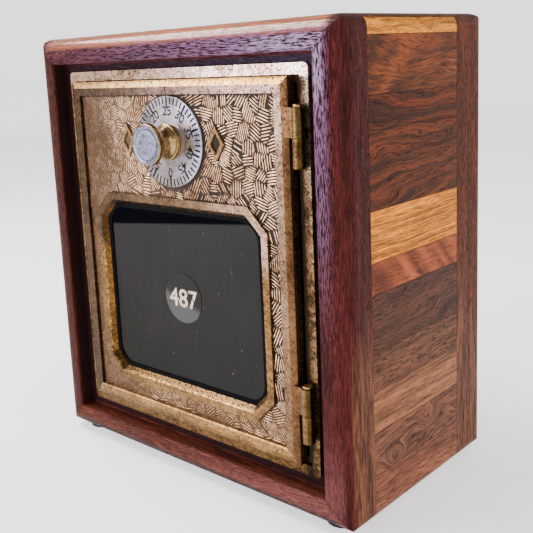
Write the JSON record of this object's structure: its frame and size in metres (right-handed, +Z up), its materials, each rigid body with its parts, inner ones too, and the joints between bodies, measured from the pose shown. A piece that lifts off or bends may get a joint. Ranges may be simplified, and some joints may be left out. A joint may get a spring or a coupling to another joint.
{
  "type": "money box",
  "caption": "Laminated wooden money box with a brass post office box door: combination dial, glazed window, side hinges and spring latch",
  "frame": {"origin": "on the surface that the feet rest on, under the middle of the object's outline", "axes": "+X to the right seen from the front, +Y to the back, +Z up; the door faces -Y"},
  "size_m": [0.166, 0.109, 0.1846],
  "materials": {
    "purple_edging": "satin oil",
    "walnut": "satin oil",
    "cherry": "satin oil",
    "oak": "satin oil",
    "cast_brass": "aged, matte",
    "turned_brass": "brushed",
    "nickel": "brushed",
    "steel": "dull",
    "glass": "polished, smoked",
    "black_bead": "matte",
    "number_disc": "printed",
    "panel": "satin oil",
    "feet": "matte"
  },
  "bodies": {
    "root": {"front_edging_left": "purple_edging", "back_edging_left": "walnut", "front_edging_right": "purple_edging", "back_edging_right": "walnut", "front_edging_top": "purple_edging", "back_edging_top": "walnut", "front_edging_bottom": "purple_edging", "back_edging_bottom": "walnut", "right_strip_1_oak": "oak", "right_strip_2_figured": "walnut", "right_strip_3_smoky": "walnut", "right_strip_4_streaked": "walnut", "right_strip_5_ash": "oak", "right_strip_6_cherry": "cherry", "right_strip_7_grey": "walnut", "right_strip_8_flecked": "walnut", "right_strip_9_honey": "oak", "right_strip_10_knotted": "walnut", "right_strip_11_plum": "walnut", "left_walnut_strips": "walnut", "left_cherry_strips": "cherry", "left_oak_strips": "oak", "top_walnut_strips": "walnut", "top_cherry_strips": "cherry", "top_oak_strips": "oak", "bottom_walnut_strips": "walnut", "bottom_cherry_strips": "cherry", "bottom_oak_strips": "oak", "back_panel": "panel", "back_screws": "steel", "feet": "feet", "door_frame": "cast_brass", "frame_screws": "turned_brass", "hinge_pins": "turned_brass"},
    "door": {"door_plate": "cast_brass", "window_glass": "glass", "glazing_bead": "black_bead", "number_disc": "number_disc", "glass_retainer": "steel", "retainer_screws": "steel", "lock_case": "turned_brass", "lock_case_screws": "steel", "lock_cover": "turned_brass", "cover_screws": "steel", "wheel_post": "turned_brass", "wheel_spacers": "turned_brass"},
    "dial": {"dial": "nickel", "knob": "turned_brass", "knob_cap": "nickel", "spindle": "steel", "drive_cam": "turned_brass", "cam_nut": "steel"},
    "wheel_1": {"wheel_1": "turned_brass"},
    "wheel_2": {"wheel_2": "turned_brass"},
    "wheel_3": {"wheel_3": "turned_brass"},
    "latch": {"latch_bolt": "turned_brass", "latch_spring": "steel", "lever_pivot": "steel", "lever_spring": "steel"},
    "fence_lever": {"fence_lever": "turned_brass"}
  },
  "joints": [
    {"name": "door_swing", "type": "hinge", "parent": "root", "child": "door", "pos_m": [0.0636, -0.04195, 0.0935], "axis": [0, 0, 1], "range_deg": [0, 120]},
    {"name": "dial_turn", "type": "hinge", "parent": "door", "child": "dial", "pos_m": [-0.0013, -0.04195, 0.1409], "axis": [0, 1, 0], "continuous": true},
    {"name": "wheel_1_turn", "type": "hinge", "parent": "door", "child": "wheel_1", "pos_m": [-0.0013, -0.0347, 0.1409], "axis": [0, 1, 0], "continuous": true},
    {"name": "wheel_2_turn", "type": "hinge", "parent": "door", "child": "wheel_2", "pos_m": [-0.0013, -0.0317, 0.1409], "axis": [0, 1, 0], "continuous": true},
    {"name": "wheel_3_turn", "type": "hinge", "parent": "door", "child": "wheel_3", "pos_m": [-0.0013, -0.0287, 0.1409], "axis": [0, 1, 0], "continuous": true},
    {"name": "latch_slide", "type": "slide", "parent": "door", "child": "latch", "axis": [-1, 0, 0], "range_m": [0, 0.0055], "deforming": ["latch_spring"]},
    {"name": "fence_lever_lift", "type": "hinge", "parent": "latch", "child": "fence_lever", "pos_m": [-0.0241, -0.02495, 0.155], "axis": [0, -1, 0], "range_deg": [0, 4], "deforming": ["lever_spring"]}
  ],
  "couplings": [
    {"joint": "wheel_1_turn", "follows": "dial_turn", "ratio": 1},
    {"joint": "wheel_2_turn", "follows": "dial_turn", "ratio": 1},
    {"joint": "wheel_3_turn", "follows": "dial_turn", "ratio": 1}
  ]
}
